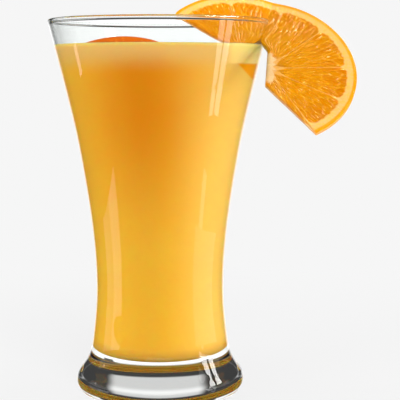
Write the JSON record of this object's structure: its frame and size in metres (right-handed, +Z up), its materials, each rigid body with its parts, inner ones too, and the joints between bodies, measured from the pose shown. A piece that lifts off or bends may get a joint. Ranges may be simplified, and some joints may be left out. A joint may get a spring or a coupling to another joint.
{
  "type": "glass_of_orange_juice",
  "caption": "Flared thick-footed tumbler of orange juice with a slit orange slice seated over its rim and the crest of another slice breaking the surface",
  "frame": {"origin": "centre of the glass's flat underside", "axes": "+Z up the glass's axis; +X toward the side where the slice sits on the rim; -Y toward the viewer of the picture"},
  "size_m": [0.1165, 0.0856, 0.1572],
  "materials": {
    "clear_glass": "clear, smooth, thick at the foot",
    "orange_juice": "cloudy, glossy liquid",
    "orange_flesh": "wet cut fruit with paler pith and rind at its edge",
    "orange_rind": "wet fruit"
  },
  "bodies": {
    "root": {"glass": "clear_glass", "juice": "orange_juice", "orange_slice": "orange_flesh", "sunk_slice": "orange_rind"}
  },
  "joints": []
}
